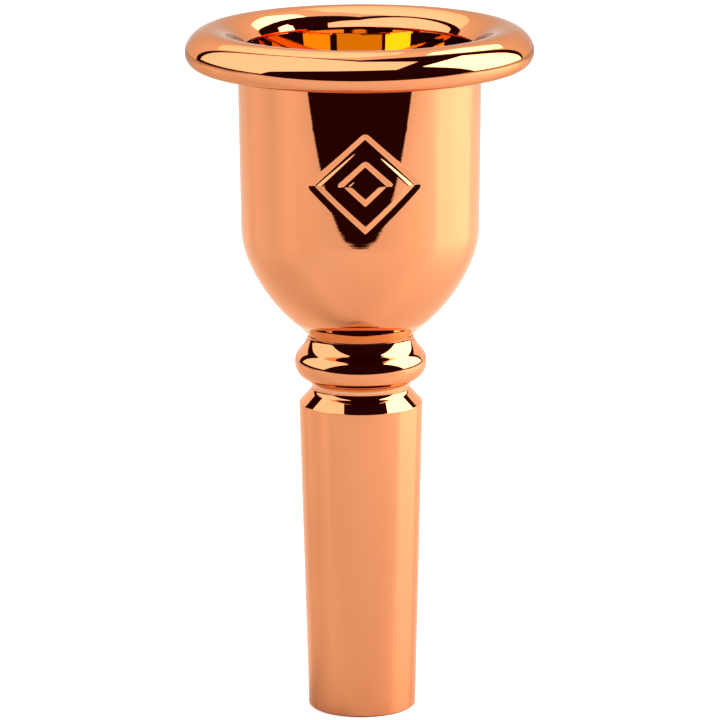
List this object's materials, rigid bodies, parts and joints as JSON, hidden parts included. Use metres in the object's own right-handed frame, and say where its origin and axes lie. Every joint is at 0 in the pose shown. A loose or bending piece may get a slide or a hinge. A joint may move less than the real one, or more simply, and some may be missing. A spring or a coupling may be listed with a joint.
{
  "type": "brass mouthpiece",
  "caption": "Low-brass mouthpiece that unscrews into a rounded rim, a deep cup and a tapered shank with a bead, plated and polished.",
  "frame": {"origin": "centre of the shank's end face, the small end that enters the instrument", "axes": "+Z along the bore, from the shank end to the rim; the piece is turned, so X and Y are any two directions square to it"},
  "size_m": [0.0404, 0.0404, 0.0814],
  "materials": {
    "rim_plating": "mirror-polished rose-gold plating",
    "cup_plating": "mirror-polished rose-gold plating with fine turning marks",
    "shank_plating": "mirror-polished rose-gold plating",
    "o_ring_rubber": "matte black"
  },
  "bodies": {
    "shank": {"shank": "shank_plating"},
    "cup_seal": {"shank_o_ring": "o_ring_rubber"},
    "cup": {"cup": "cup_plating"},
    "rim_seal": {"rim_o_ring": "o_ring_rubber"},
    "rim": {"rim": "rim_plating"}
  },
  "joints": [
    {"name": "cup_lift", "type": "slide", "parent": "shank", "child": "cup_seal", "axis": [0, 0, 1], "range_m": [0, 0.004]},
    {"name": "cup_turn", "type": "hinge", "parent": "cup_seal", "child": "cup", "pos_m": [0, 0, 0.0451], "axis": [0, 0, 1], "range_deg": [0, 1440]},
    {"name": "rim_lift", "type": "slide", "parent": "cup", "child": "rim_seal", "axis": [0, 0, 1], "range_m": [0, 0.0015]},
    {"name": "rim_turn", "type": "hinge", "parent": "rim_seal", "child": "rim", "pos_m": [0, 0, 0.0774], "axis": [0, 0, 1], "range_deg": [0, 1080]}
  ],
  "couplings": [
    {"joint": "cup_lift", "follows": "cup_turn", "m_per_rad": 0.00015915},
    {"joint": "rim_lift", "follows": "rim_turn", "m_per_rad": 0.000079577}
  ]
}
